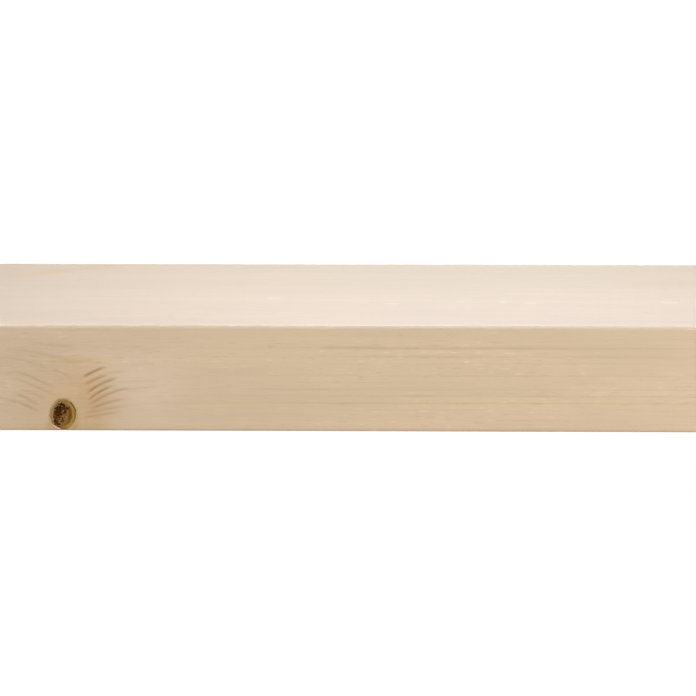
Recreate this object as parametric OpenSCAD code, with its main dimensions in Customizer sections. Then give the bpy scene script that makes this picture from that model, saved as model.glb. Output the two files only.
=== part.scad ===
// Planed square-edge softwood plank, lying on its wide face.
// X runs along the grain, Y across the wide face and Z up. The origin is in the middle
// of the bottom face. It is one piece of sawn and planed timber, in millimetres.

/* [Plank] */
// Length as sold, along the grain, between the two square saw cuts
plank_length = 1800; // [900:50:4800]
// Finished width of the wide face
plank_width = 69; // [44:1:219]
// Finished thickness, from bottom face to top face
plank_thickness = 44; // [24:1:94]
// Radius to which the planer eases the four long arrises
arris_radius = 1; // [0.5:0.1:3]

/* [Knot] */
// Place of the knot along the plank, measured from the middle
knot_x = -113; // [-400:1:400]
// Height of the knot's middle on the front face, above the bottom face
knot_height = 7; // [4:0.5:10]
// Diameter of the dead branch that the saw cut through
branch_diameter = 10.5; // [6:0.5:16]
// Angle between the branch and the front face's normal, sloping down into the plank
branch_tilt = 40; // [15:1:50]
// Lean of the branch along the plank, as seen on the front face
branch_lean = 15; // [0:1:30]
// Depth to which the dry knot has shrunk below the planed faces
knot_sink = 0.4; // [0.2:0.1:0.8]

/* [Hidden] */
$fn = 96;
timber_colour = "#E0C9AB";
// The least radius that an inset section keeps on its corners
least_radius = 0.1;
// Long enough to reach out of the plank whatever the branch's angle
branch_length = 4 * (plank_width + plank_thickness);
front_y = -plank_width / 2;

// Cross-section in Y and Z with eased arrises, drawn in by inset on every side
module section(inset = 0) {
    radius = max(arris_radius - inset, least_radius);
    half_width = plank_width / 2 - inset;
    height = plank_thickness - 2 * inset;
    translate([-half_width, inset + radius])
        square([2 * half_width, height - 2 * radius]);
    translate([-half_width + radius, inset])
        square([2 * (half_width - radius), height]);
    for (side = [-1, 1], level = [inset + radius, inset + height - radius])
        translate([side * (half_width - radius), level])
            circle(r = radius);
}

// The section run along the grain, from one saw cut to the other
module bar(inset = 0) {
    rotate([90, 0, 90])
        linear_extrude(height = plank_length, center = true)
            section(inset);
}

// Straight round branch through the knot's middle on the front face
module branch() {
    translate([knot_x, front_y, knot_height])
        rotate([-90 - branch_tilt, branch_lean, 0])
            cylinder(d = branch_diameter, h = branch_length, center = true);
}

// What shrinking took off the knot: the branch's skin on every face that it crosses,
// so that the hollow runs round the arris from the front face to the bottom face
module knot_shrinkage() {
    difference() {
        branch();
        bar(inset = knot_sink);
    }
}

module plank() {
    color(timber_colour)
        difference() {
            bar();
            knot_shrinkage();
        }
}

plank();
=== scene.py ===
# %% [markdown]
# # A planed softwood plank
# This lesson dresses one length of planed softwood. The solid that carries its sizes is loaded
# first and never changed. Everything below is worked out in its frame: X along the grain,
# Y across the wide face, Z up, with the origin in the middle of the bottom face, in metres.

# %% Load the frame
import math

import bpy
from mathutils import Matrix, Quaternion, Vector


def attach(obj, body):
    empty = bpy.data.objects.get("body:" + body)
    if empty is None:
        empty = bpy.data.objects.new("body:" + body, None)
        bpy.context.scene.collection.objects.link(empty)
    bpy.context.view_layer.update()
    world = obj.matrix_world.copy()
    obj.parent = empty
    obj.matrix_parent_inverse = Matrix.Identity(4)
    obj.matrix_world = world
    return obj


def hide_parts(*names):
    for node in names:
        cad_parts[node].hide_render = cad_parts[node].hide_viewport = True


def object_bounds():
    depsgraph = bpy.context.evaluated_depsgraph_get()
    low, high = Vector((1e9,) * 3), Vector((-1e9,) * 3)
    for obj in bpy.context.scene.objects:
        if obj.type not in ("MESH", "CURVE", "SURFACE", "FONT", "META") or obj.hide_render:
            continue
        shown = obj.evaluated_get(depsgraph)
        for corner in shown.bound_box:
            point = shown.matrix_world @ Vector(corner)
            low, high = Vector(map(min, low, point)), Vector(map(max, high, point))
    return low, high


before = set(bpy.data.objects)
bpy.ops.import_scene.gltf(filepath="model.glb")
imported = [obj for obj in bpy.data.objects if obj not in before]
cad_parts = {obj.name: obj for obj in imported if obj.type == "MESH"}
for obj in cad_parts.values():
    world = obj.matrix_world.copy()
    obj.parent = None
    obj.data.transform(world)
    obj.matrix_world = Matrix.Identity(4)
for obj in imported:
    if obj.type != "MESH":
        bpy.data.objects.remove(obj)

MM = 0.001
solid_low, solid_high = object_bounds()
length, width, thickness = solid_high - solid_low
print(f"solid: {length / MM:.0f} x {width / MM:.0f} x {thickness / MM:.0f} mm")

# %% [markdown]
# ## The camera
# The plank lies across the view and runs out of it on both sides, so its three long edges are
# all that fixes the camera. A long lens keeps them nearly parallel. The height above the
# horizon sets how much of the top face shows beside the front face, the small swing and roll
# give the edges their slight slope, and the aim point centres the plank in a square frame.

# %% Place the camera
camera_lens = 100
camera_height_angle = 22.68
camera_swing = 0.84
camera_roll = -0.17
camera_distance = 735.4 * MM
camera_aim = Vector((-2.5 * MM, solid_low.y, 35.26 * MM))

height_angle = math.radians(camera_height_angle)
swing = math.radians(camera_swing)
backwards = Vector((
    math.sin(swing) * math.cos(height_angle),
    -math.cos(swing) * math.cos(height_angle),
    math.sin(height_angle),
))
camera = bpy.data.objects.new("camera", bpy.data.cameras.new("camera"))
camera.data.lens = camera_lens
camera.data.clip_start = 0.01
camera.rotation_mode = "QUATERNION"
turn = Quaternion((0, 0, 1), math.radians(camera_roll))
camera.rotation_quaternion = (-backwards).to_track_quat("-Z", "Y") @ turn
camera.location = camera_aim + camera_distance * backwards
bpy.context.scene.collection.objects.link(camera)
bpy.context.scene.camera = camera
bpy.context.scene.view_settings.view_transform = "Standard"
print("camera at", [round(v, 3) for v in camera.location])

# %% [markdown]
# ## Helpers for node trees
# Shapes and finishes below are both node trees, and both use the same arithmetic nodes.
# These few functions add a node, link or fill its sockets, and hand back its output, so that
# a rule such as a sum or a distance reads like a formula. Each node goes into the tree that
# the values it is given belong to.

# %% Define the node helpers
def add(tree, kind, **settings):
    """Adds a node and sets its own settings."""
    node = tree.nodes.new(kind)
    for name, value in settings.items():
        setattr(node, name, value)
    return node


def tree_of(*values):
    """The node tree of the first value that is a socket."""
    return next(value.id_data for value in values if isinstance(value, bpy.types.NodeSocket))


def feed(socket, value):
    """Links an output to an input socket, or writes a plain value on it."""
    if isinstance(value, bpy.types.NodeSocket):
        tree_of(socket).links.new(value, socket)
    else:
        socket.default_value = value


def calc(operation, *values):
    """One arithmetic node."""
    node = add(tree_of(*values), "ShaderNodeMath", operation=operation)
    for socket, value in zip(node.inputs, values):
        feed(socket, value)
    return node.outputs[0]


def minus(first, second):
    """The difference of two values."""
    return calc("SUBTRACT", first, second)


def total(*values):
    """Adds up any number of values."""
    result = values[0]
    for value in values[1:]:
        result = calc("ADD", result, value)
    return result


def product(*values):
    """Multiplies any number of values."""
    result = values[0]
    for value in values[1:]:
        result = calc("MULTIPLY", result, value)
    return result


def vector(operation, *values):
    """One vector node; dot products and lengths come back as a value."""
    node = add(tree_of(*values), "ShaderNodeVectorMath", operation=operation)
    for socket, value in zip(node.inputs, values):
        feed(socket, value)
    return node.outputs["Value" if operation in ("DOT_PRODUCT", "LENGTH") else "Vector"]


def scaled(value, factor):
    """A vector times a number."""
    node = add(tree_of(value), "ShaderNodeVectorMath", operation="SCALE")
    feed(node.inputs["Vector"], value)
    feed(node.inputs["Scale"], factor)
    return node.outputs["Vector"]


def split(value):
    """The three parts of a vector."""
    node = add(tree_of(value), "ShaderNodeSeparateXYZ")
    feed(node.inputs[0], value)
    return node.outputs["X"], node.outputs["Y"], node.outputs["Z"]


def joined(x=0.0, y=0.0, z=0.0):
    """A vector from its three parts."""
    node = add(tree_of(x, y, z), "ShaderNodeCombineXYZ")
    for socket, value in zip(node.inputs, (x, y, z)):
        feed(socket, value)
    return node.outputs["Vector"]


print("arithmetic helpers ready")

# %% [markdown]
# ## Helpers for patterns and colours
# Patterns come from three shapes: a soft step, a bell and smooth noise. A node group starts
# with its named sockets. Colours are written as they look on a screen, turned to the linear
# values that nodes take, and mixed by a factor.

# %% Define the pattern helpers
def remap(value, low, high, start=0.0, end=1.0, kind="SMOOTHSTEP"):
    """A soft step from start to end while value goes from low to high, held outside that."""
    node = add(tree_of(value), "ShaderNodeMapRange", interpolation_type=kind, clamp=True)
    names = ("Value", "From Min", "From Max", "To Min", "To Max")
    for name, number in zip(names, (value, low, high, start, end)):
        feed(node.inputs[name], number)
    return node.outputs["Result"]


def hump(value, middle, spread):
    """A bell of height 1 about a middle value."""
    off = calc("DIVIDE", minus(value, middle), spread)
    return calc("EXPONENT", product(off, off, -1.0))


def noise(place, scale=1.0, detail=2.0, roughness=0.5, kind="3D"):
    """Smooth noise from about 0 to 1, the same on each run."""
    node = add(tree_of(place), "ShaderNodeTexNoise", noise_dimensions=kind)
    feed(node.inputs["W" if kind == "1D" else "Vector"], place)
    for name, number in (("Scale", scale), ("Detail", detail), ("Roughness", roughness)):
        feed(node.inputs[name], number)
    return node.outputs["Fac"]


def stretched_noise(place, stretch, detail=2.0, roughness=0.5):
    """Smooth noise with its own scale along each axis."""
    return noise(vector("MULTIPLY", place, stretch), detail=detail, roughness=roughness)


def new_tree(name, kind, inputs, outputs):
    """An empty node group with named sockets, given as (name, type) pairs."""
    tree = bpy.data.node_groups.new(name, kind)
    for way, sockets in (("INPUT", inputs), ("OUTPUT", outputs)):
        for label, sort in sockets:
            tree.interface.new_socket(name=label, in_out=way, socket_type="NodeSocket" + sort)
    return tree, tree.nodes.new("NodeGroupInput").outputs, tree.nodes.new("NodeGroupOutput").inputs


def hue(red, green, blue):
    """A colour as it looks on a screen, 0 to 255, turned to the linear values that nodes take."""
    parts = [v / 255 for v in (red, green, blue)]
    return (*[v / 12.92 if v <= 0.04045 else ((v + 0.055) / 1.055) ** 2.4 for v in parts], 1.0)


def mixed(factor, first, second, blend="MIX"):
    """Two colours mixed by a factor."""
    node = add(tree_of(factor, first), "ShaderNodeMix", data_type="RGBA", blend_type=blend)
    feed(node.inputs["Factor"], factor)
    colours = [s for s in node.inputs if s.type == "RGBA"]
    for socket, value in zip(colours, (first, second)):
        feed(socket, value)
    return [s for s in node.outputs if s.type == "RGBA"][0]


print("pattern helpers ready")

# %% [markdown]
# ## The branch behind the knot
# A knot is a branch that the saw cut through. This branch slopes down into the plank at the
# front bottom arris, so it shows on two faces. Two numbers say where a point lies in it: the
# offsets from the branch's middle line, measured square to the branch and as shares of its
# radius. The same function serves the mesh and the colours, so that both agree on every face.

# %% Describe the branch
front_level = solid_low.y / MM
knot_middle = Vector((-113.0, front_level, 7.0))
branch_radius = 5.25
branch_tilt = math.radians(40)
branch_lean = math.radians(15)
branch_across = Vector((math.cos(branch_lean), 0.0, -math.sin(branch_lean)))
branch_up = Vector((
    math.sin(branch_lean) * math.cos(branch_tilt),
    math.sin(branch_tilt),
    math.cos(branch_lean) * math.cos(branch_tilt),
))


def branch_place(place):
    """Offsets across and up from the branch's middle line, in branch radii, and their length."""
    away = vector("SUBTRACT", place, knot_middle)
    across = vector("DOT_PRODUCT", away, branch_across / branch_radius)
    up = vector("DOT_PRODUCT", away, branch_up / branch_radius)
    reach = calc("SQRT", total(product(across, across), product(up, up)))
    return across, up, reach


print("branch", round(2 * branch_radius, 1), "mm across, middle at", knot_middle[:], "mm")

# %% [markdown]
# ## The plank's shape
# A planer leaves four flat faces with eased arrises, and a saw leaves two square ends. The
# rule is simple, so Geometry Nodes make it: a grid box whose lines crowd together at the
# knot, each arris rounded by the same step, and the knot sunk below the faces that it crosses.
# A bevelled cube would be quicker, but it has no vertices where the knot needs them.

# %% Write the rules for the mesh
def grid_spread(share, stretches):
    """Sets grid lines out along one side: each stretch is (share of the lines, its size)."""
    parts = []
    begun = 0.0
    for portion, size in stretches:
        parts.append(remap(share, begun, begun + portion, 0.0, size, kind="LINEAR"))
        begun += portion
    return total(*parts)


def long_spread(share, plank_length, crowding):
    """Sets grid lines out along the grain, close at the knot and ever wider away from it."""
    ends = []
    for side in (-0.5, 0.5):
        reach = minus(product(plank_length, side), knot_middle.x * MM)
        far = calc("ABSOLUTE", calc("DIVIDE", reach, crowding))
        root = calc("SQRT", total(product(far, far), 1.0))
        stretch = calc("LOGARITHM", total(far, root), math.e)
        ends.append(product(stretch, 2 * side))
    step = remap(share, 0.0, 1.0, ends[0], ends[1], kind="LINEAR")
    place = total(product(calc("SINH", step), crowding), knot_middle.x * MM)
    half = product(plank_length, 0.5)
    inside = calc("MINIMUM", place, half)
    return calc("MAXIMUM", inside, product(half, -1.0))


print("grid rules ready")

# %% [markdown]
# ## The hollow of the knot
# The dry branch has shrunk below the planed faces. Its heart lies deeper still and is flaky, a
# gap has opened along its right edge, and a short crack runs along its lower left.

# %% Write the rule for the knot's depth
knot_sink = 0.4
heart_sink = 0.25
gap_depth = 0.25
crack_depth = 0.3
crack_reach = 0.77


def arc_below(across, up, reach, middle):
    """A thin arc on the lower left of the knot, at a given reach."""
    side = product(remap(up, -0.66, -0.80), remap(across, 0.18, -0.02))
    return product(hump(reach, middle, 0.05), side)


def knot_depth(place):
    """How far the surface lies below the planed faces, for a place, both in millimetres."""
    across, up, reach = branch_place(place)
    rough = minus(noise(place, scale=0.5, detail=3.0), 0.5)
    edge = total(reach, product(rough, 0.10))
    dish = remap(edge, 1.0, 0.90, 0.0, knot_sink)
    heart = remap(edge, 0.75, 0.45, 0.0, heart_sink)
    flakes = product(heart, total(1.0, product(rough, 3.0)))
    gap = product(hump(edge, 0.96, 0.05), remap(across, -0.2, 0.4), gap_depth)
    crack = product(arc_below(across, up, reach, crack_reach), crack_depth)
    return total(dish, flakes, gap, crack)


print("knot sunk", knot_sink, "mm")

# %% [markdown]
# ## A flat layout for the finish
# The finish can be drawn on a square picture when the plank leaves this file. A plank is far
# too long for a square, so its layout cuts it in three lengths and unrolls the four planed
# faces of each side by side, with the two sawn ends in the strip above.

# %% Write the rule for the layout
layout_lengths = 3
layout_gap = 4 * MM
layout_margin = 25 * MM


def layout(place, given):
    """The place of each face corner on the layout, from the box before its arrises are eased."""
    def per_face(value, kind):
        node = add(tree_of(place), "GeometryNodeFieldOnDomain", domain="FACE", data_type=kind)
        feed(node.inputs[0], value)
        return node.outputs[0]

    normal = add(tree_of(place), "GeometryNodeInputNormal").outputs[0]
    facing = split(per_face(normal, "FLOAT_VECTOR"))
    face_x = split(per_face(place, "FLOAT_VECTOR"))[0]
    x, y, z = split(place)
    long, wide, thick = [given[name] for name in ("Length", "Width", "Thickness")]
    girth = product(total(wide, thick), 2.0)
    sheet = total(product(girth, float(layout_lengths)), (layout_lengths + 1) * layout_gap)
    piece = calc("DIVIDE", long, float(layout_lengths))
    from_left = total(face_x, product(long, 0.5))
    column = calc("FLOOR", calc("DIVIDE", from_left, piece))
    column = calc("MINIMUM", column, layout_lengths - 1.0)

    def side(axis, sign):
        return calc("GREATER_THAN", product(facing[axis], float(sign)), 0.5)

    half = product(wide, 0.5)
    bottom = product(side(2, -1), minus(half, y))
    front = product(side(1, -1), total(wide, z))
    top = product(side(2, 1), total(wide, thick, y, half))
    back = product(side(1, 1), minus(girth, z))
    around = total(bottom, front, top, back)
    u_long = total(around, layout_gap, product(column, total(girth, layout_gap)))
    v_long = minus(total(x, product(long, 0.5), layout_margin),
                  product(column, piece))
    right = side(0, 1)
    end = total(right, side(0, -1))
    u_end = total(y, half, layout_gap, product(right, total(wide, layout_gap)))
    v_end = total(z, piece, layout_margin * 2)
    u = remap(end, 0.0, 1.0, u_long, u_end, kind="LINEAR")
    v = remap(end, 0.0, 1.0, v_long, v_end, kind="LINEAR")
    return joined(calc("DIVIDE", u, sheet), calc("DIVIDE", v, sheet))


print("layout in", layout_lengths, "lengths")

# %% [markdown]
# ## Move the points of the box
# Two rules move the points of a plain grid box. The first sets its lines out, close together at
# the arrises and in the part that holds the knot. The second eases the arrises: each point steps
# out from the nearest point of a core that is smaller by the arris radius, less the knot's depth.

# %% Set out and ease the box
fine_width = 24 * MM
fine_height = 17 * MM
grid_shares = (0.15, 0.60, 0.10, 0.15)


def spaced_place(here, given):
    """Where each point of a unit grid box goes in the plank's box."""
    share = split(vector("ADD", here, (0.5, 0.5, 0.5)))
    eased = product(given["Arris Radius"], 1.5)
    lines = []
    for axis, side, fine in ((1, "Width", fine_width), (2, "Thickness", fine_height)):
        rest = minus(minus(given[side], fine), product(eased, 2.0))
        lines.append(grid_spread(share[axis], zip(grid_shares, (eased, fine, rest, eased))))
    half = product(given["Width"], 0.5)
    along = long_spread(share[0], given["Length"], given["Crowding"])
    return joined(along, minus(lines[0], half), lines[1])


def eased_place(here, given):
    """Where each point of the plank's box goes, with the arrises eased and the knot sunk."""
    radius = given["Arris Radius"]
    x, y, z = split(here)
    inner = minus(product(given["Width"], 0.5), radius)
    core_y = calc("MAXIMUM", calc("MINIMUM", y, inner), product(inner, -1.0))
    highest = minus(given["Thickness"], radius)
    core_z = calc("MAXIMUM", radius, calc("MINIMUM", z, highest))
    core = joined(x, core_y, core_z)
    outwards = vector("SUBTRACT", here, core)
    parts = [calc("ABSOLUTE", part) for part in split(outwards)]
    depth = product(knot_depth(scaled(here, 1 / MM)), MM)
    step = minus(calc("MAXIMUM", parts[1], parts[2]), depth)
    return vector("ADD", core, scaled(vector("NORMALIZE", outwards), step))


print("close lines over", round(fine_width / MM), "x", round(fine_height / MM), "mm")

# %% [markdown]
# ## Put the mesh rules together
# The tree takes the plank's sizes as named inputs. It makes the box, sets its lines out, lays
# out the faces, eases the arrises and sinks the knot. It ends in plain geometry with two
# materials, one for the planed faces and one for the sawn ends.

# %% Build the plank tree
lines_along = 340
lines_across = 56
lines_high = 53
sharp_angle = math.radians(60)
end_facing = 0.9


def after(geometry, kind, **settings):
    """A geometry node that carries on from another one's geometry."""
    node = add(tree_of(geometry), kind, **settings)
    feed(node.inputs["Geometry"], geometry)
    return node


def dressed(shape, planed, sawn):
    """The shape with smooth faces, sharp saw cuts and its two materials."""
    tree = tree_of(shape)
    smooth = after(shape, "GeometryNodeSetShadeSmooth", domain="FACE")
    sharp = after(smooth.outputs[0], "GeometryNodeSetShadeSmooth", domain="EDGE")
    angle = add(tree, "GeometryNodeInputMeshEdgeAngle").outputs["Unsigned Angle"]
    feed(sharp.inputs["Selection"], calc("GREATER_THAN", angle, sharp_angle))
    sharp.inputs["Shade Smooth"].default_value = False
    plain = after(sharp.outputs[0], "GeometryNodeRealizeInstances")
    sides = after(plain.outputs[0], "GeometryNodeSetMaterial")
    sides.inputs["Material"].default_value = planed
    along = split(add(tree, "GeometryNodeInputNormal").outputs[0])[0]
    ends = after(sides.outputs[0], "GeometryNodeSetMaterial")
    feed(ends.inputs["Selection"], calc("GREATER_THAN", calc("ABSOLUTE", along), end_facing))
    ends.inputs["Material"].default_value = sawn
    return ends.outputs[0]


def plank_tree(planed, sawn):
    """The Geometry Nodes tree of the plank."""
    names = ("Length", "Width", "Thickness", "Arris Radius", "Crowding")
    shape = ("Geometry", "Geometry")
    tree, given, result = new_tree("planed_bar", "GeometryNodeTree",
                                   [shape, *[(name, "Float") for name in names]], [shape])
    box = add(tree, "GeometryNodeMeshCube")
    for name, count in (("X", lines_along), ("Y", lines_across), ("Z", lines_high)):
        box.inputs["Vertices " + name].default_value = count
    here = add(tree, "GeometryNodeInputPosition").outputs[0]
    spaced = after(box.outputs["Mesh"], "GeometryNodeSetPosition")
    feed(spaced.inputs["Position"], spaced_place(here, given))
    laid_out = after(spaced.outputs[0], "GeometryNodeStoreNamedAttribute",
                     data_type="FLOAT2", domain="CORNER")
    laid_out.inputs["Name"].default_value = "OFBake"
    feed(laid_out.inputs["Value"], layout(here, given))
    rounded = after(laid_out.outputs[0], "GeometryNodeSetPosition")
    feed(rounded.inputs["Position"], eased_place(here, given))
    feed(result["Geometry"], dressed(rounded.outputs[0], planed, sawn))
    return tree


print("grid", lines_along, "x", lines_across, "x", lines_high)

# %% [markdown]
# ## Growth rings
# A tree adds a ring each year: pale early wood, then a narrow band of darker late wood with a
# sharp outer edge. The trunk's middle, the pith, lay in front of this plank and above it, so
# the front face cuts the rings at a flat angle and shows a few broad lines, while the top face
# cuts them square and shows many fine ones. One rule in space, the distance from the pith,
# therefore draws every face and both ends, and the lines meet at the arrises.

# %% Measure the rings
pith_y = -88.0
pith_z = 51.0
bulge_height = 10.5
bulge_reach = 9.7
bulge_offset = (0.1, 5.6)
bulge_squash = 1.5
ring_wander = 1.6
ring_ripple = 0.25


def ring_distance(place):
    """How far out a place grew, in millimetres, and its plain distances from pith and branch."""
    x, y, z = split(place)
    across, up, reach = [product(part, branch_radius) for part in branch_place(place)]
    from_pith = vector("LENGTH", joined(0.0, minus(y, pith_y), minus(z, pith_z)))

    # Rings bulge outwards above the branch.
    beside = minus(across, bulge_offset[0])
    above = product(minus(up, bulge_offset[1]), bulge_squash)
    swirl = vector("LENGTH", joined(beside, above))
    bulge = calc("EXPONENT", product(swirl, -1 / bulge_reach))
    bulge = product(bulge, -bulge_height, remap(z, 40.0, 22.0, 0.3, 1.0))

    # They wander a little over the plank's length, and ripple along every fibre.
    wander = minus(noise(x, scale=0.004, detail=1.0, kind="1D"), 0.5)
    wander = product(wander, remap(calc("ABSOLUTE", x), 150.0, 450.0))
    ripple = stretched_noise(place, (0.05, 0.6, 0.6), detail=1.0)
    ripple = minus(ripple, 0.5)
    ring = total(from_pith, bulge, product(wander, ring_wander), product(ripple, ring_ripple))
    return ring, from_pith, reach


print("pith", round(front_level - pith_y, 1), "mm in front of the plank")

# %% [markdown]
# ## Late wood
# A few narrow years are followed by wider ones. Each year has its own amount of late wood and
# its own tint, listed from the innermost ring in the plank outwards. A line also fades in and
# out along the plank, and the fibres break it into dashes.

# %% Build the growth ring group
ring_width = 1.2
ring_start = 0.78
narrow_years = (60.0, 2.6, -0.58)
wide_years = (63.0, 70.0, 1.5)
first_year = 45
year_strengths = (
    0.40, 0.55, 0.30, 0.12, 0.45, 0.20, 0.50, 0.65,
    0.95, 0.35, 0.08, 0.30, 0.15, 0.20, 0.12, 0.03,
)
year_tints = (
    0.0, 0.0, 0.1, 0.0, 0.2, 0.0, 0.0, 0.1,
    1.0, 0.3, 0.0, 0.0, 0.2, 0.0, 0.0, 0.0,
)
late_rise = (0.35, 0.96)
late_end = (1.0, 0.965)
strong_start = (-20.0, -8.0)
strong_end = (130.0, 70.0)
strong_amount = (1.1, 2.1)
faint_spans = ((-75.0, 55.0, -0.65), (140.0, 60.0, -0.45))
zone_start = 82.0
zone_end = 126.0


def year_of(ring):
    """The year that a ring distance falls in, and how far through that year it lies."""
    narrow = product(hump(ring, *narrow_years[:2]), narrow_years[2])
    wide = remap(ring, *wide_years[:2], 0.0, wide_years[2])
    grown = minus(ring, total(narrow, wide, ring_start))
    years = calc("DIVIDE", grown, ring_width)
    return calc("FLOOR", years), calc("FRACT", years)


def year_table(year):
    """The amount of late wood and the tint of a year, read off a stepped ramp."""
    count = len(year_strengths)
    since = minus(year, first_year - 0.5)
    ramp = add(tree_of(year), "ShaderNodeValToRGB")
    ramp.color_ramp.interpolation = "CONSTANT"
    stops = ramp.color_ramp.elements
    for i, (strength, tint) in enumerate(zip(year_strengths, year_tints)):
        stop = stops[0] if i == 0 else stops.new(i / count)
        stop.color = (strength, tint, 0.0, 1.0)
    stops.remove(stops[-1])
    feed(ramp.inputs["Fac"], calc("FRACT", calc("DIVIDE", since, count)))
    return split(ramp.outputs["Color"])[:2]


def growth_rings():
    """The group that says how much late wood there is at a place in millimetres."""
    tree, given, result = new_tree(
        "growth_rings", "ShaderNodeTree", [("Place", "Vector")],
        [("Late Wood", "Float"), ("Tint", "Float"), ("Reach", "Float"), ("Zone", "Float")])
    place = given["Place"]
    x = split(place)[0]
    ring, from_pith, reach = ring_distance(place)
    year, part = year_of(ring)
    strength, tint = year_table(year)
    rise = calc("POWER", remap(part, *late_rise), 2.0)
    band = product(rise, remap(part, *late_end))

    fade = joined(product(x, 0.025), product(year, 3.7), 0.0)
    fade = remap(noise(fade, detail=1.0), 0.36, 0.62, 0.45, 1.15)
    strong = product(calc("COMPARE", year, float(first_year), 0.1),
                     remap(x, *strong_start), remap(x, *strong_end, *strong_amount))
    fade = calc("MAXIMUM", fade, calc("MAXIMUM", strong, tint))
    dash = stretched_noise(place, (0.13, 0.8, 0.8))
    fainter = [product(hump(x, *span[:2]), span[2]) for span in faint_spans]
    late = product(band, strength, fade, total(1.0, *fainter), remap(dash, 0.35, 0.65, 0.8, 1.15))

    zone = remap(from_pith, zone_start, zone_end, kind="LINEAR")
    for name, value in (("Late Wood", late), ("Tint", tint), ("Reach", reach), ("Zone", zone)):
        feed(result[name], value)
    return tree


rings_group = growth_rings()
print("growth ring nodes:", len(rings_group.nodes))

# %% [markdown]
# ## Grain beside the knot
# A trunk grows around a branch, so its rings sweep past the knot in short dark strokes that
# are packed close on one side. No simple formula gives these strokes. Like a grain painter,
# the script draws each one on the front face instead: a curve from a start near the knot to an
# end further off, with a bow in between and a weight. One small group holds the curve.

# %% Build the group of drawn lines
knot_lines = (
    ((-105.0, 22.5), (-94.4, 27.3), 0.3, 0.95),
    ((-104.4, 19.4), (-93.8, 24.0), 0.35, 0.75),
    ((-104.0, 15.5), (-90.1, 22.3), 1.2, 0.95),
    ((-103.4, 12.6), (-92.1, 19.1), 1.0, 0.85),
    ((-104.0, 10.1), (-83.6, 18.2), 2.0, 0.65),
    ((-103.2, 8.8), (-86.6, 13.6), 1.0, 0.55),
    ((-106.6, 7.4), (-83.6, 11.5), 0.0, 0.35),
    ((-107.0, 5.5), (-88.6, 8.4), 0.0, 0.35),
    ((-102.0, 5.1), (-97.6, 6.0), 0.0, 0.20),
    ((-96.0, 16.2), (-72.0, 19.0), 0.5, 0.30),
    ((-92.0, 20.4), (-74.0, 21.3), 0.2, 0.22),
    ((-97.0, 24.2), (-86.0, 25.4), 0.2, 0.22),
    ((-87.0, 27.8), (-75.0, 28.6), 0.1, 0.20),
    ((-105.0, 35.7), (-126.0, 37.6), -0.5, 0.26),
    ((-106.5, 29.9), (-134.0, 34.0), 0.7, 0.26),
    ((-107.0, 22.2), (-117.0, 25.9), 0.3, 0.27),
    ((-116.0, 26.5), (-138.0, 30.7), 1.2, 0.20),
    ((-113.5, 18.2), (-133.5, 24.8), 1.0, 0.38),
    ((-114.5, 15.5), (-132.5, 21.8), 0.5, 0.32),
    ((-118.0, 13.3), (-130.5, 17.1), 0.9, 0.30),
    ((-121.3, 11.2), (-131.5, 15.4), 0.5, 0.55),
    ((-120.7, 7.8), (-135.5, 12.4), 1.3, 0.55),
)
right_sway = 0.2
left_sway = 1.0
front_turn = (front_level + 3.5, front_level + 1.0)


def grain_line():
    """The group for one drawn line: its strength at a place in millimetres."""
    tree, given, result = new_tree(
        "grain_line", "ShaderNodeTree",
        [("Place", "Vector"), ("Start", "Vector"), ("End", "Vector"), ("Bow", "Float"),
         ("Sway", "Float"), ("Weight", "Float")], [("Line", "Float")])
    x, _, z = split(given["Place"])
    start_x, _, start_z = split(given["Start"])
    end_x, _, end_z = split(given["End"])
    along = remap(x, start_x, end_x, kind="LINEAR")
    curved = minus(remap(along, 0.0, 1.0), along)
    rise = total(along, product(curved, given["Sway"]))
    level = remap(rise, 0.0, 1.0, start_z, end_z, kind="LINEAR")
    bowed = product(given["Bow"], 4.0, along, minus(1.0, along))
    off = minus(z, total(level, bowed))
    wide = calc("MAXIMUM", product(off, 1.3), product(off, -2.0))
    body = calc("EXPONENT", product(wide, wide, -1.0))
    ends = product(remap(along, 0.0, 0.25), remap(along, 1.0, 0.7))
    feed(result["Line"], product(body, ends, given["Weight"]))
    return tree


def on_front(y):
    """1 on the front face and 0 behind it."""
    return remap(y, *front_turn)


def drawn_grain():
    """The group for all drawn lines together."""
    tree, given, result = new_tree(
        "drawn_grain", "ShaderNodeTree", [("Place", "Vector")], [("Line", "Float")])
    one_line = grain_line()
    drawn = 0.0
    for start, end, bow, weight in knot_lines:
        node = add(tree, "ShaderNodeGroup", node_tree=one_line)
        feed(node.inputs["Place"], given["Place"])
        node.inputs["Start"].default_value = (start[0], 0.0, start[1])
        node.inputs["End"].default_value = (end[0], 0.0, end[1])
        node.inputs["Bow"].default_value = bow
        node.inputs["Sway"].default_value = right_sway if end[0] > start[0] else left_sway
        node.inputs["Weight"].default_value = weight
        drawn = calc("MAXIMUM", drawn, node.outputs["Line"])
    y = split(given["Place"])[1]
    feed(result["Line"], product(drawn, on_front(y)))
    return tree


drawn_group = drawn_grain()
print("drawn grain lines:", len(knot_lines))

# %% [markdown]
# ## Fibres
# Wood fibres run along the grain, so planed wood has faint streaks many times longer than they
# are wide, and a few short pale or dark dashes where a resin duct was cut open. Noise that is
# stretched along X gives both.

# %% Build the fibre group
broad_fibre = (0.012, 0.35, 0.35)
fine_fibre = (0.06, 2.2, 2.2)
cloud_stretch = (0.008, 0.05, 0.05)
duct_stretch = (0.20, 1.5, 1.5)


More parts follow.
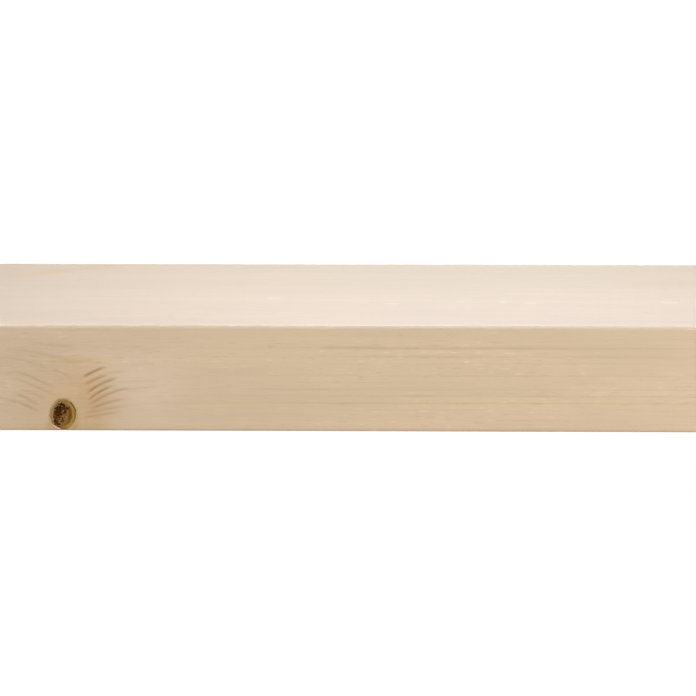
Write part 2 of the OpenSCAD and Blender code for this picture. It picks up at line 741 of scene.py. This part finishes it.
def fibres():
    """The group for streaks, ducts and clouds at a place in millimetres."""
    tree, given, result = new_tree("fibres", "ShaderNodeTree", [("Place", "Vector")],
                                   [("Streak", "Float"), ("Duct", "Float"), ("Cloud", "Float")])
    place = given["Place"]
    broad = stretched_noise(place, broad_fibre, detail=3.0, roughness=0.6)
    fine = stretched_noise(place, fine_fibre, roughness=0.6)
    streak = total(product(broad, 0.5), product(fine, 0.5))
    cloud = stretched_noise(place, cloud_stretch)
    spots = stretched_noise(place, duct_stretch, detail=1.0)
    pale = remap(spots, 0.62, 0.74)
    dark = remap(spots, 0.38, 0.26)
    duct = product(minus(pale, dark), remap(cloud, 0.4, 0.6, 0.4, 1.0))
    for name, value in (("Streak", streak), ("Duct", duct), ("Cloud", cloud)):
        feed(result[name], value)
    return tree


fibres_group = fibres()
print("fibre nodes:", len(fibres_group.nodes))

# %% [markdown]
# ## The heart of the knot
# The dead branch has a dark heart that sits off centre and has a ragged edge. It is red brown
# at the lower right, and dark with cracks at the upper left. The cracks are the borders
# between the cells of a Voronoi texture.

# %% Colour the heart
heart_middle = (-0.10, -0.01)
heart_size = (0.57, 0.78)
heart_lean = 0.05
heart_raggedness = 0.7
dark_heart = (hue(64, 28, 0), hue(106, 67, 14))
red_heart = (hue(135, 91, 44), hue(163, 118, 72))
heart_crack = hue(40, 12, 0)
crack_stretch = (1.25, 1.0, 0.7)


def heart_cover(across, up, wobble, grainy):
    """How much of the heart shows: an oval with a ragged edge."""
    upright = total(across, product(up, heart_lean))
    offsets = [calc("DIVIDE", minus(value, middle), size)
               for value, middle, size in zip((upright, up), heart_middle, heart_size)]
    oval = vector("LENGTH", joined(*offsets))
    ragged = product(minus(grainy, 0.5), heart_raggedness)
    return remap(total(oval, product(wobble, 1.5), ragged), 1.10, 0.90)


def heart_colour(place, across, up, blotch, grainy):
    """The heart's colour, and how much of it is cracked."""
    lit = total(blotch, product(across, 0.34), product(up, -0.16))
    speckle = remap(grainy, 0.44, 0.60)
    colour = mixed(remap(lit, 0.40, 0.56), mixed(speckle, *dark_heart), mixed(speckle, *red_heart))
    cells = add(tree_of(place), "ShaderNodeTexVoronoi", feature="DISTANCE_TO_EDGE")
    feed(cells.inputs["Vector"], vector("MULTIPLY", place, crack_stretch))
    cells.inputs["Scale"].default_value = 0.8
    crack = product(remap(cells.outputs["Distance"], 0.09, 0.02), remap(lit, 0.58, 0.44))
    return mixed(crack, colour, heart_crack), crack


print("heart", [round(2 * size * branch_radius, 1) for size in heart_size], "mm")

# %% [markdown]
# ## The bark of the knot
# Around the heart lies a ring of bark and sapwood, widest on the right. There it is olive
# inside and gold outside, and it is tan and brown on the left and above. Thin dark lines run
# where the branch has shrunk away from the wood around it.

# %% Colour the bark
gold_bark = (hue(116, 79, 10), hue(168, 132, 66))
low_bark = hue(120, 92, 30)
tan_bark = (hue(166, 134, 86), hue(196, 163, 120))
high_bark = hue(148, 110, 58)
bark_line = hue(84, 58, 18)


def bark_colour(across, up, edge):
    """The bark's colour, and how much of it is a dark line."""
    gold = mixed(remap(edge, 0.62, 0.80), *gold_bark)
    gold = mixed(remap(up, -0.55, -0.9), gold, low_bark)
    tan = mixed(remap(edge, 0.70, 0.98), *tan_bark)
    tan = mixed(remap(up, 0.5, 0.85, 0.0, 0.8), tan, high_bark)
    rightwards = total(across, product(up, -0.35))
    colour = mixed(remap(rightwards, -0.45, 0.15), tan, gold)
    rim = product(hump(edge, 0.94, 0.04), remap(across, 0.0, 0.4), remap(up, -0.5, 0.35))
    inner = product(hump(edge, 0.84, 0.04), remap(across, -0.35, -0.65), 0.5)
    line = calc("MAXIMUM", rim, inner)
    return mixed(product(line, 0.85), colour, bark_line), line


print("bark out to", branch_radius, "mm")

# %% [markdown]
# ## Put the knot together
# The heart lies over the bark, with a few pale crumbs near its top and a short crack with a
# pale rim at its lower left. The knot's edge is sharp on the right, and softer on the left and
# below.

# %% Build the knot group
rim_reach = 0.89
crumb_middle = (-0.28, 0.62)
crumb_colour = hue(200, 172, 130)
crack_colour = hue(30, 16, 0)
rim_colour = hue(236, 204, 174)
knot_relief = 0.8


def knot():
    """The group for the knot's colour, its cover and its height, at a place in millimetres."""
    tree, given, result = new_tree(
        "knot", "ShaderNodeTree", [("Place", "Vector")],
        [("Cover", "Float"), ("Colour", "Color"), ("Height", "Float")])
    place = given["Place"]
    across, up, reach = branch_place(place)
    blotch = noise(place, scale=0.55, detail=3.0, roughness=0.6)
    grainy = noise(place, scale=1.3, detail=2.0, roughness=0.65)
    wobble = product(minus(blotch, 0.5), 0.16)
    edge = total(reach, wobble)
    rightwards = minus(across, product(up, 0.4))
    soft = total(remap(rightwards, 0.4, -0.2, 0.0, 0.08), remap(up, -0.3, -0.7, 0.0, 0.06))
    cover = remap(edge, total(soft, 1.02), minus(0.96, soft))

    heart = heart_cover(across, up, wobble, grainy)
    inside, crack = heart_colour(place, across, up, blotch, grainy)
    bark, line = bark_colour(across, up, edge)
    crumb_off = vector("LENGTH", joined(total(across, -crumb_middle[0]),
                                        total(up, -crumb_middle[1])))
    crumb = product(remap(grainy, 0.56, 0.62), remap(crumb_off, 0.22, 0.10), 0.6)
    colour = mixed(heart, bark, inside)
    colour = mixed(crumb, colour, crumb_colour)
    colour = mixed(arc_below(across, up, reach, crack_reach), colour, crack_colour)
    colour = mixed(arc_below(across, up, reach, rim_reach), colour, rim_colour)

    height = total(product(heart, grainy, knot_relief),
                   product(crack, -knot_relief), product(line, -knot_relief))
    for name, value in (("Cover", cover), ("Colour", colour), ("Height", height)):
        feed(result[name], value)
    return tree


knot_group = knot()
print("knot nodes:", len(knot_group.nodes))

# %% [markdown]
# ## Helpers for materials
# Each material starts from the place on the plank in millimetres and hands it to the groups
# above, so that all of them agree on where the rings and the knot are.

# %% Define the material helpers
def new_material(name):
    """A node material, its shader, and the place on its object in millimetres."""
    material = bpy.data.materials.new(name)
    material.use_nodes = True
    tree = material.node_tree
    shader = tree.nodes["Principled BSDF"]
    place = scaled(add(tree, "ShaderNodeTexCoord").outputs["Object"], 1 / MM)
    return material, shader, place


def use(group, place):
    """Places a node group and feeds it the place on the plank."""
    node = add(tree_of(place), "ShaderNodeGroup", node_tree=group)
    feed(node.inputs["Place"], place)
    return node.outputs


def toned(colour, tone):
    """A colour made lighter or darker by a tone."""
    return mixed(1.0, colour, joined(tone, tone, tone), blend="MULTIPLY")


def bumped(height, distance):
    """A bump node on a height."""
    node = add(tree_of(height), "ShaderNodeBump")
    node.inputs["Distance"].default_value = distance
    feed(node.inputs["Height"], height)
    return node.outputs["Normal"]


print("material helpers ready")

# %% [markdown]
# ## Early and late wood
# The first layer of the planed faces mixes early and late wood by the rings. Beside the knot
# the drawn lines take the place of the rings, and the wood between them is warmer, most of all
# on the knot's right.

# %% Mix early and late wood
early_wood = hue(217, 192, 162)
late_wood = hue(158, 120, 82)
late_tint = hue(186, 154, 76)
stroke_wood = hue(146, 102, 56)
knot_warmth = hue(210, 178, 138)
ring_contrast = 0.30
ring_contrast_beside = 0.02
top_contrast = 0.9
stroke_contrasts = (0.65, 0.74)
ring_clearance = (6.5, 10.0)
right_side = (5.0, 9.0)
right_reach = (24.0, 14.0)
drawn_left = (-26.0, -16.0)
drawn_right = (30.0, 16.0)
drawn_top = (40.0, 35.0)
warm_reach = (26.0, 9.0)
warm_sides = (-6.0, 12.0)
warm_shares = (0.45, 0.85)


def ringed_wood(where, rings, drawn, grain):
    """The colour of the rings and the drawn lines, and how much of it is late wood."""
    x, y, z, upper = where
    reach = rings["Reach"]
    from_knot = minus(x, knot_middle.x)
    right = product(remap(reach, *right_reach), remap(from_knot, *right_side))
    beside = product(remap(from_knot, *drawn_left), remap(from_knot, *drawn_right),
                     remap(z, *drawn_top), on_front(y))
    lines = product(rings["Late Wood"],
                    remap(beside, 0.0, 1.0, ring_contrast, ring_contrast_beside),
                    remap(reach, *ring_clearance), remap(upper, 0.0, 1.0, 1.0, top_contrast))
    strokes = product(drawn["Line"], remap(grain["Streak"], 0.35, 0.6, 0.65, 1.05),
                      remap(right, 0.0, 1.0, *stroke_contrasts))
    late = calc("MAXIMUM", lines, strokes)

    tinted = product(rings["Tint"], remap(beside, 0.6, 0.2))
    dark = mixed(right, mixed(tinted, late_wood, late_tint), stroke_wood)
    warmth = product(remap(reach, *warm_reach), remap(from_knot, *warm_sides, *warm_shares))
    pale = mixed(warmth, early_wood, knot_warmth)
    return mixed(late, pale, dark), late


print("late wood at", ring_contrast, "of its full colour")

# %% [markdown]
# ## Fibres, tones and painted light
# The second layer makes the wood lighter or darker: fine streaks, slow clouds and the flecks of
# the ducts. It also paints light and shade: a broad drift along the front, darker left of the knot
# and lighter further right, a painted sheen that lightens the near edge of the top, and painted
# shade that darkens the far edge of the top and the foot of the front. On the top, a wandering row
# of opened ducts shows as pale dashes.

# %% Add fibres and tones
front_streak = (0.97, 1.026)
top_streak = (0.98, 1.024)
duct_contrasts = (0.10, 0.07)
# Painted light and shade along the front: darker left of the knot, lighter further right.
front_light_drifts = ((-150.0, 50.0, -0.10), (160.0, 90.0, 0.11))
back_level = solid_high.y / MM
# Painted sheen at the near edge of the top; painted shade at its far edge and the front's foot.
near_edge = (front_level + 4.0, front_level + 2.0)
near_sheen_gain = 0.07
far_edge = (back_level - 1.5, back_level - 0.7)
far_shade_loss = -0.10
foot_edge = (front_level + 2.0, front_level + 1.1)
foot_height = (0.85, 0.35)
foot_shade_loss = -0.13
front_half = (20.0, -20.0)
opened_row = (-13.0, -5.0)
opened_gain = 0.10


def opened_ducts(x, y, upper):
    """The pale dashes on the top, in a row that wanders across it."""
    wander = noise(total(x, 500.0), scale=0.016, detail=0.0, kind="1D")
    row = remap(wander, 0.3, 0.7, *opened_row, kind="LINEAR")
    dashes = remap(noise(x, scale=0.11, detail=0.0, kind="1D"), 0.58, 0.72)
    return product(upper, hump(y, row, 0.9), remap(x, -70.0, -45.0), dashes, opened_gain)


def wood_tone(where, grain):
    """How light the wood is, as a factor about 1, with painted light and shade in it."""
    x, y, z, upper = where
    darkest, lightest = [remap(upper, 0.0, 1.0, front, top)
                         for front, top in zip(front_streak, top_streak)]
    streak = remap(grain["Streak"], 0.35, 0.65, darkest, lightest)
    cloud = remap(grain["Cloud"], 0.3, 0.7, 0.97, 1.03)
    ducts = product(grain["Duct"], remap(upper, 0.0, 1.0, *duct_contrasts))
    # Painted light and shade along the front.
    drifts = [product(hump(x, middle, spread), gain) for middle, spread, gain in front_light_drifts]
    light_drift = product(total(*drifts), remap(y, *front_half), remap(upper, 0.0, 1.0, 1.0, 0.0))
    # Painted sheen at the near edge of the top, painted shade at its far edge and at the front's
    # foot.
    near_sheen = product(upper, remap(y, *near_edge, 0.0, near_sheen_gain))
    far = product(upper, remap(y, *far_edge, 0.0, far_shade_loss))
    foot_shade = product(hump(z, *foot_height), remap(y, *foot_edge, 0.0, foot_shade_loss))
    edge_light_and_ducts = total(1.0, near_sheen, far, opened_ducts(x, y, upper), foot_shade)
    return product(streak, cloud, total(1.0, light_drift), total(1.0, ducts), edge_light_and_ducts)


print("front drifts:", len(front_light_drifts))

# %% [markdown]
# ## Tints and painted light
# The third layer tints the wood and paints light and shade on it. The outer rings are warmer, a
# painted sheen makes the top paler and cooler towards its near edge and darker towards its far
# edge, the top is mellower above the knot, the near arris has a painted highlight, and one streak
# of resin is yellow. A few soft patches beside the knot are painted shade.
# Soft patches on the front face are given one by one: a middle, a spread and a tint for each.

# %% Tint the faces
warm_zone = hue(236, 229, 214)
# A painted sheen over the top: darker at its far edge, paler and cooler at its near edge.
top_width = (back_level - 1.5, front_level + 1.5)
far_shade_tint = (0.91, 0.905, 0.885, 1.0)
near_sheen_tint = (1.10, 1.115, 1.215, 1.0)
mellow_stretch = (-85.0, 55.0)
mellow_tint = (0.945, 0.905, 0.855, 1.0)
top_level = solid_high.z / MM
# A painted highlight on the near arris.
arris_front = (front_level + 1.5, front_level + 1.0)
arris_top = (top_level - 0.34, top_level - 0.16)
arris_highlight_tint = (1.35, 1.46, 1.64, 1.0)
resin_tint = hue(255, 245, 222)
resin_start = (-108.0, 28.7)
resin_slope = 0.28
resin_spread = 3.2
resin_ends = ((-142.0, -122.0), (-92.0, -108.0))
front_tints_and_shade = (
    ((-100.0, 15.0), (6.0, 9.0), (0.98, 0.94, 0.86)),
    ((-106.0, 29.6), (9.0, 0.9), (0.965, 0.925, 0.77)),
    ((-105.0, 32.7), (9.0, 1.3), (1.035, 1.02, 1.09)),
    ((-80.0, 18.0), (12.0, 11.0), (1.05, 1.075, 1.13)),
    ((-85.0, 34.0), (16.0, 2.5), (0.955, 0.96, 0.97)),
    ((-124.0, 28.0), (14.0, 7.5), (0.94, 0.93, 0.915)),
    # Painted shade: a dark halo just right of the knot's rim.
    ((-107.3, 5.5), (1.0, 3.2), (0.91, 0.83, 0.76)),
    ((-101.0, 2.2), (6.0, 1.6), (0.91, 0.95, 0.86)),
    ((-113.5, 14.0), (5.5, 3.6), (1.02, 0.97, 0.91)),
    # Painted shade below the knot, at its lower right and its lower left.
    ((-108.9, 2.0), (1.4, 1.9), (0.78, 0.74, 0.62)),
    ((-118.4, 2.4), (1.5, 2.4), (0.86, 0.83, 0.74)),
    ((40.0, 1.5), (150.0, 0.9), (0.995, 0.98, 0.94)),
)


def tinted_wood(where, colour, zone):
    """The colour with its tints and its painted sheen, highlight and shade laid over it."""
    x, y, z, upper = where
    across = remap(y, *top_width, kind="LINEAR")
    mellow = product(upper, hump(x, *mellow_stretch))
    # Painted highlight on the near arris.
    eased = product(remap(y, *arris_front), remap(z, *arris_top))
    along = product(total(x, -resin_start[0]), resin_slope)
    resin = product(upper, hump(y, total(along, resin_start[1]), resin_spread),
                    *[remap(x, *end) for end in resin_ends])
    layers = [
        (zone, warm_zone),
        # Painted sheen over the top.
        (upper, mixed(across, far_shade_tint, near_sheen_tint)),
        (mellow, mellow_tint),
        # Painted highlight on the near arris.
        (eased, arris_highlight_tint),
        (resin, resin_tint),
    ]
    front = on_front(y)
    # Tints, and painted shade beside the knot.
    for middle, spread, tint in front_tints_and_shade:
        patch = product(hump(x, middle[0], spread[0]), front, hump(z, middle[1], spread[1]))
        layers.append((patch, (*tint, 1.0)))
    for amount, tint in layers:
        colour = mixed(amount, colour, tint, blend="MULTIPLY")
    return colour


print("patches on the front:", len(front_tints_and_shade))

# %% [markdown]
# ## The planed faces
# Fresh planed softwood is a pale, warm straw colour with a dull satin sheen. The sheen is a thin
# rough coat, which shows most where a face is seen at a low angle, and the near arris, rubbed
# by the planer, has more of it. The dry knot has none. Late wood is harder than early wood and
# stands a hair proud of it.

# %% Build the planed material
wood_gloss = 0.05
planed_sheen = 0.32
arris_sheen = 0.68
sheen_roughness = 0.55
rubbed_front = (front_level + 0.9, front_level + 0.6)
rubbed_top = (top_level - 0.55, top_level - 0.30)
top_turn = (top_level - 1.0, top_level - 0.1)
planed_roughness = 0.40
planed_relief = 0.05 * MM


def planed_softwood():
    """The material of the four planed faces."""
    material, shader, place = new_material("planed_faces")
    groups = (rings_group, drawn_group, fibres_group, knot_group)
    rings, drawn, grain, branch = [use(group, place) for group in groups]
    x, y, z = split(place)
    where = (x, y, z, remap(z, *top_turn))
    colour, late = ringed_wood(where, rings, drawn, grain)
    colour = toned(colour, wood_tone(where, grain))
    colour = tinted_wood(where, colour, rings["Zone"])
    cover = branch["Cover"]
    feed(shader.inputs["Base Color"], mixed(cover, colour, branch["Colour"]))

    sheen = remap(cover, 0.0, 1.0, planed_sheen, 0.0, kind="LINEAR")
    rubbed = product(remap(y, *rubbed_front), remap(z, *rubbed_top))
    feed(shader.inputs["Coat Weight"], total(sheen, product(rubbed, arris_sheen)))
    shader.inputs["Coat Roughness"].default_value = sheen_roughness
    shader.inputs["Specular IOR Level"].default_value = wood_gloss
    rough = total(planed_roughness, product(late, -0.06), product(grain["Streak"], 0.08),
                  product(cover, -0.06))
    feed(shader.inputs["Roughness"], rough)
    height = total(product(grain["Streak"], 0.5), product(rings["Late Wood"], 0.08),
                   product(cover, branch["Height"], 4.0))
    feed(shader.inputs["Normal"], bumped(height, planed_relief))
    return material


planed = planed_softwood()
print("planed material nodes:", len(planed.node_tree.nodes))

# %% [markdown]
# ## The sawn ends
# Across the grain the same rings show as arcs about the pith. End grain drinks light, so it is
# darker and duller than the faces, and a cross-cut blade leaves fine curved scratches on it.

# %% Build the sawn end material
end_early = hue(205, 176, 140)
end_late = hue(150, 110, 70)
blade_below = 140.0
sawn_roughness = 0.72
sawn_relief = 0.12 * MM


def sawn_ends():
    """The material of the two saw cuts."""
    material, shader, place = new_material("sawn_ends")
    rings = use(rings_group, place)
    late = calc("MINIMUM", product(rings["Late Wood"], 1.1), 0.8)
    _, y, z = split(place)
    from_blade = vector("LENGTH", joined(0.0, y, total(z, blade_below)))
    marks = noise(from_blade, scale=1.6, detail=2.0, kind="1D")
    pores = noise(place, scale=2.5, detail=2.0)
    tone = total(0.86, product(marks, 0.16), product(pores, 0.12))
    feed(shader.inputs["Base Color"], toned(mixed(late, end_early, end_late), tone))
    feed(shader.inputs["Roughness"], total(sawn_roughness, product(marks, 0.12)))
    shader.inputs["Specular IOR Level"].default_value = wood_gloss
    height = total(marks, product(pores, 0.4))
    feed(shader.inputs["Normal"], bumped(height, sawn_relief))
    return material


sawn = sawn_ends()
print("sawn end material nodes:", len(sawn.node_tree.nodes))

# %% [markdown]
# ## Make the plank
# The tree runs on an empty mesh object. Its inputs are set by their identifiers before the
# object is evaluated, the result is copied to a plain mesh, and the modifier is thrown away.

# %% Run the tree and keep the mesh
arris_radius = 1.0 * MM
knot_crowding = 12.0 * MM


def run_tree(name, tree, sizes):
    """A plain mesh object from a Geometry Nodes tree and its named sizes."""
    maker = bpy.data.objects.new(name + "_maker", bpy.data.meshes.new(name + "_maker"))
    bpy.context.scene.collection.objects.link(maker)
    modifier = maker.modifiers.new("shape", "NODES")
    modifier.node_group = tree
    for item in tree.interface.items_tree:
        if item.item_type == "SOCKET" and item.in_out == "INPUT" and item.name in sizes:
            modifier[item.identifier] = sizes[item.name]
    ready = maker.evaluated_get(bpy.context.evaluated_depsgraph_get())
    mesh = bpy.data.meshes.new_from_object(ready)
    mesh.name = name
    empty_slots = [i for i, material in enumerate(mesh.materials) if material is None]
    for i in reversed(empty_slots):
        mesh.materials.pop(index=i)
    maker.modifiers.remove(modifier)
    bpy.data.objects.remove(maker)
    piece = bpy.data.objects.new(name, mesh)
    bpy.context.scene.collection.objects.link(piece)
    return piece


plank = run_tree("plank_planed", plank_tree(planed, sawn), {
    "Length": length,
    "Width": width,
    "Thickness": thickness,
    "Arris Radius": arris_radius,
    "Crowding": knot_crowding,
})
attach(plank, "root")
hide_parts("plank")
triangles = sum(len(face.vertices) - 2 for face in plank.data.polygons)
print("plank:", triangles, "triangles,", [m.name for m in plank.data.materials],
      [layer.name for layer in plank.data.uv_layers])

# %% [markdown]
# ## Light
# A wide soft box lights the front face, a low one lights the back face and two small ones light
# the ends. A higher box behind lights the top. The top is seen at a low angle, so this box also
# glances off its sheen and veils it with white.

# %% Set up the lamps
soft_boxes = (
    ("front_box", (0.4, -2.4, 0.7), (4.0, 1.2), 73),
    ("back_box", (0.07, 2.4, 0.95), (1.55, 1.2), 50),
    ("low_back_box", (0.0, 2.4, 0.3), (3.0, 0.4), 20),
    ("left_box", (-2.8, 0.6, 0.25), (1.2, 0.4), 30),
    ("right_box", (2.8, 0.6, 0.25), (1.2, 0.4), 30),
)
plank_middle = (solid_low + solid_high) / 2
for name, place, size, power in soft_boxes:
    lamp = bpy.data.objects.new(name, bpy.data.lights.new(name, "AREA"))
    lamp.data.shape = "RECTANGLE"
    lamp.data.size, lamp.data.size_y = size
    lamp.data.energy = power
    lamp.location = place
    lamp.rotation_mode = "QUATERNION"
    lamp.rotation_quaternion = (plank_middle - Vector(place)).to_track_quat("-Z", "Y")
    lamp.visible_camera = False
    bpy.context.scene.collection.objects.link(lamp)
print("soft boxes:", len(soft_boxes))

# %% [markdown]
# ## World and floor
# The world and the floor are white to the camera and in reflections, but they add little light
# to the plank. The floor still takes the plank's shadow, and it fades to full white far away.

# %% Set up world and floor
white = (1.0, 1.0, 1.0, 1.0)
world_light = 0.12
floor_size = 40.0
floor_grey = (0.20, 0.20, 0.20, 1.0)
floor_fade = (1500.0, 6000.0)
floor_white_near = 0.93


def white_to_see(tree, plain_light, seen):
    """A strength that shows one light to the camera and in reflections, and another to the rest."""
    rays = add(tree, "ShaderNodeLightPath").outputs
    looks = calc("MAXIMUM", rays["Is Camera Ray"], rays["Is Glossy Ray"])
    looks = calc("MAXIMUM", looks, rays["Is Transmission Ray"])
    return remap(looks, 0.0, 1.0, plain_light, seen, kind="LINEAR")


world = bpy.data.worlds.new("studio")
world.use_nodes = True
bpy.context.scene.world = world
sky = world.node_tree.nodes["Background"]
sky.inputs["Color"].default_value = white
feed(sky.inputs["Strength"], white_to_see(world.node_tree, world_light, 1.0))

floor_mesh = bpy.data.meshes.new("floor")
corners = [(-1, -1), (1, -1), (1, 1), (-1, 1)]
floor_mesh.from_pydata([(a * floor_size / 2, b * floor_size / 2, solid_low.z) for a, b in corners],
                       [], [(0, 1, 2, 3)])
floor = bpy.data.objects.new("floor", floor_mesh)
bpy.context.scene.collection.objects.link(floor)
floor_material, floor_shader, floor_place = new_material("white_floor")
floor_shader.inputs["Base Color"].default_value = floor_grey
floor_shader.inputs["Roughness"].default_value = 1.0
floor_shader.inputs["Specular IOR Level"].default_value = 0.0
floor_shader.inputs["Emission Color"].default_value = white
floor_white = remap(vector("LENGTH", floor_place), *floor_fade, floor_white_near, 1.0)
feed(floor_shader.inputs["Emission Strength"],
     white_to_see(floor_material.node_tree, 0.0, floor_white))
floor_mesh.materials.append(floor_material)
print("floor", floor_size, "m wide")
